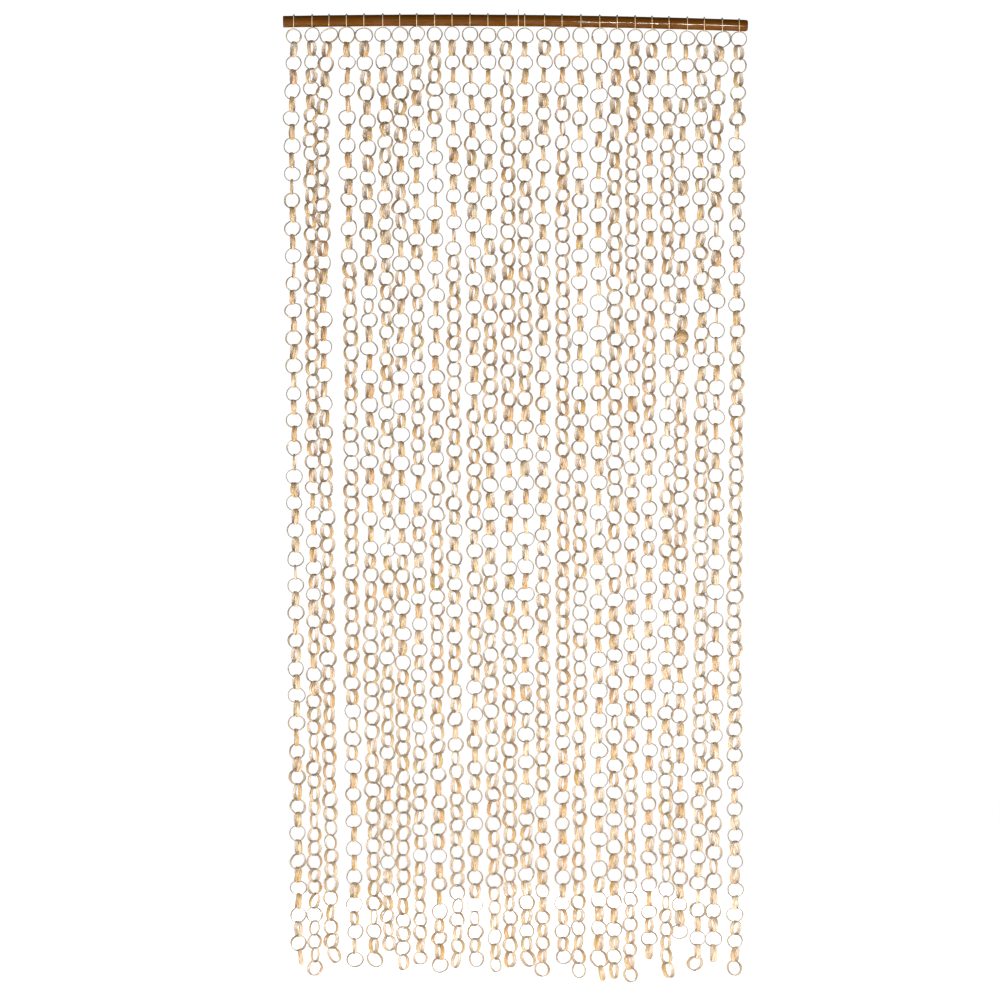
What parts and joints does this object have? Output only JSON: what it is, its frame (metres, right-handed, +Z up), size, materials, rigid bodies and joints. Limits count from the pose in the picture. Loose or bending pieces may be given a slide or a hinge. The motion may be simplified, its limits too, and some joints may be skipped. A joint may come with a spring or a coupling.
{
  "type": "fibre ring door curtain with its pole",
  "caption": "Door curtain of long chains of linked fibre band rings, each tied by a thread to one varnished pole that hangs from a thread loop at its middle.",
  "frame": {"origin": "crown of the hanging loop, where a nail or hook holds the curtain; the pole's middle lies 6 mm to the left of it and about 24 mm below it", "axes": "+Z up, +X along the pole to the right as seen from the front, -Y to the front, where the viewer stands"},
  "size_m": [0.96, 0.0652, 2.0113],
  "materials": {
    "pole_wood": "dark brown varnish, glossy",
    "fibre": "dry golden plant fibre strip, satin, streaked lengthwise",
    "thread": "cream cotton thread"
  },
  "bodies": {
    "root": {"rod": "pole_wood", "strand_01": "fibre", "strand_02": "fibre", "strand_03": "fibre", "strand_04": "fibre", "strand_05": "fibre", "strand_06": "fibre", "strand_07": "fibre", "strand_08": "fibre", "strand_09": "fibre", "strand_10": "fibre", "strand_11": "fibre", "strand_12": "fibre", "strand_13": "fibre", "strand_14": "fibre", "strand_15": "fibre", "strand_16": "fibre", "strand_17": "fibre", "strand_18": "fibre", "strand_19": "fibre", "strand_20": "fibre", "strand_21": "fibre", "strand_22": "fibre", "strand_23": "fibre", "strand_24": "fibre", "strand_25": "fibre", "strand_26": "fibre", "tie_01": "thread", "tie_02": "thread", "tie_03": "thread", "tie_04": "thread", "tie_05": "thread", "tie_06": "thread", "tie_07": "thread", "tie_08": "thread", "tie_09": "thread", "tie_10": "thread", "tie_11": "thread", "tie_12": "thread", "tie_13": "thread", "tie_14": "thread", "tie_15": "thread", "tie_16": "thread", "tie_17": "thread", "tie_18": "thread", "tie_19": "thread", "tie_20": "thread", "tie_21": "thread", "tie_22": "thread", "tie_23": "thread", "tie_24": "thread", "tie_25": "thread", "tie_26": "thread", "hanger": "thread"}
  },
  "joints": []
}
